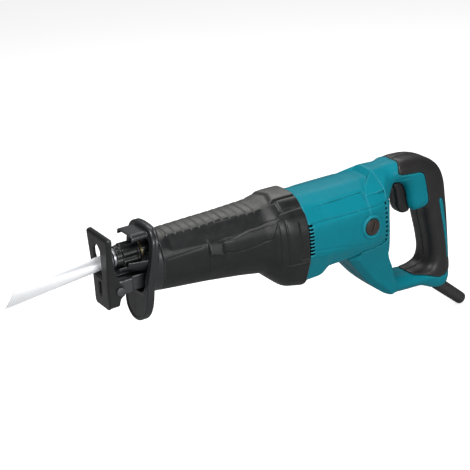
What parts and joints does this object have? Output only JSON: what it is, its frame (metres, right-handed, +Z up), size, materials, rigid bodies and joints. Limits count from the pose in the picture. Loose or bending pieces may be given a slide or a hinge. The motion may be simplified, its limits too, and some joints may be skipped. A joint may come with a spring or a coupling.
{
  "type": "reciprocating saw",
  "caption": "Corded reciprocating saw: D-handle, teal motor housing, black grip cover, pivoting shoe and straight blade in a quick-release clamp.",
  "frame": {"origin": "on the working face of the shoe, on the centre plane, 44.5 mm below the plunger axis", "axes": "+X from the nose towards the rear handle, +Z up, +Y towards the right-hand side of the tool"},
  "size_m": [0.5803, 0.094, 0.2143],
  "materials": {
    "teal_shell": "satin moulded nylon, deep teal",
    "black_shell": "fine-textured black moulding",
    "grip_rubber": "soft black overmould",
    "dark_plastic": "dark grey moulding",
    "shoe_paint": "black painted pressed steel",
    "bright_steel": "ground steel",
    "blade_steel": "pale ground blade steel",
    "dark_steel": "black oxide steel",
    "cast_aluminium": "as-cast aluminium",
    "bronze": "sintered bronze and brass",
    "copper": "varnished copper winding",
    "lamination": "electrical steel laminations",
    "bearing_steel": "polished bearing steel",
    "carbon": "pressed carbon",
    "brush_cap": "brown-black moulding"
  },
  "bodies": {
    "housing": {"nose_guard": "black_shell", "front_grip_cover": "black_shell", "gear_housing": "cast_aluminium", "front_bush": "bronze", "plunger_seal": "grip_rubber", "rear_bush": "bronze", "gear_bearing_upper": "bearing_steel", "gear_bearing_lower": "bearing_steel", "bearing_box": "cast_aluminium", "motor_bearing_front": "bearing_steel", "fan_baffle": "dark_plastic", "stator_core": "lamination", "field_coil_upper": "copper", "field_coil_lower": "copper", "motor_bearing_rear": "bearing_steel", "brush_holder_left": "bronze", "brush_holder_right": "bronze", "carbon_brush_left": "carbon", "carbon_brush_right": "carbon", "brush_cap_left": "brush_cap", "brush_cap_right": "brush_cap", "motor_housing": "teal_shell", "handle_left": "teal_shell", "handle_right": "teal_shell", "grip_left": "grip_rubber", "grip_right": "grip_rubber", "cord_guard": "grip_rubber", "power_cord": "grip_rubber", "cord_clamp": "dark_plastic", "switch_body": "dark_plastic", "gear_housing_screw_1": "bright_steel", "gear_housing_screw_2": "bright_steel", "gear_housing_screw_3": "bright_steel", "gear_housing_screw_4": "bright_steel", "handle_screw_1": "bright_steel", "handle_screw_2": "bright_steel", "handle_screw_3": "bright_steel", "handle_screw_4": "bright_steel", "handle_screw_5": "bright_steel"},
    "plunger": {"plunger": "bright_steel", "saw_blade": "blade_steel", "clamp_front_collar": "bright_steel", "clamp_retaining_ring": "bronze", "clamp_spring": "bright_steel"},
    "clamp_sleeve": {"blade_clamp_sleeve": "black_shell"},
    "clamp_pin": {"clamp_pin": "bright_steel"},
    "crank": {"crank_gear": "dark_steel", "gear_shaft": "bright_steel", "crank_pin": "bright_steel", "crank_roller": "bearing_steel"},
    "armature": {"armature_shaft": "bright_steel", "armature_core": "lamination", "armature_winding": "copper", "commutator": "copper", "cooling_fan": "dark_plastic"},
    "shoe_bar": {"shoe_bar": "dark_steel", "shoe_pivot_pin": "dark_steel"},
    "shoe": {"shoe_plate": "shoe_paint"},
    "shoe_lock": {"shoe_lock_button": "dark_plastic"},
    "trigger": {"trigger": "dark_plastic"}
  },
  "joints": [
    {"name": "plunger_slide", "type": "slide", "parent": "housing", "child": "plunger", "axis": [1, 0, 0], "range_m": [-0.008, 0.022]},
    {"name": "clamp_sleeve_turn", "type": "hinge", "parent": "plunger", "child": "clamp_sleeve", "pos_m": [0.03, 0, 0.0445], "axis": [1, 0, 0], "range_deg": [0, 80]},
    {"name": "clamp_pin_slide", "type": "slide", "parent": "plunger", "child": "clamp_pin", "axis": [0, -1, 0], "range_m": [0, 0.0023]},
    {"name": "crank_spin", "type": "hinge", "parent": "housing", "child": "crank", "pos_m": [0.182, 0, 0.0155], "axis": [0, 0, 1], "continuous": true},
    {"name": "armature_spin", "type": "hinge", "parent": "housing", "child": "armature", "pos_m": [0.25, 0, 0.0155], "axis": [1, 0, 0], "continuous": true},
    {"name": "shoe_bar_slide", "type": "slide", "parent": "housing", "child": "shoe_bar", "axis": [-1, 0, 0], "range_m": [0, 0.03]},
    {"name": "shoe_tilt", "type": "hinge", "parent": "shoe_bar", "child": "shoe", "pos_m": [0.0135, 0, 0.0138], "axis": [0, 1, 0], "range_deg": [-20, 4]},
    {"name": "shoe_lock_press", "type": "slide", "parent": "housing", "child": "shoe_lock", "axis": [0, -1, 0], "range_m": [0, 0.002]},
    {"name": "trigger_pull", "type": "slide", "parent": "housing", "child": "trigger", "axis": [1, 0, 0], "range_m": [0, 0.006]}
  ],
  "couplings": [
    {"joint": "armature_spin", "follows": "crank_spin", "ratio": -3.5455},
    {"joint": "clamp_pin_slide", "follows": "clamp_sleeve_turn", "m_per_rad": 0.001647}
  ]
}
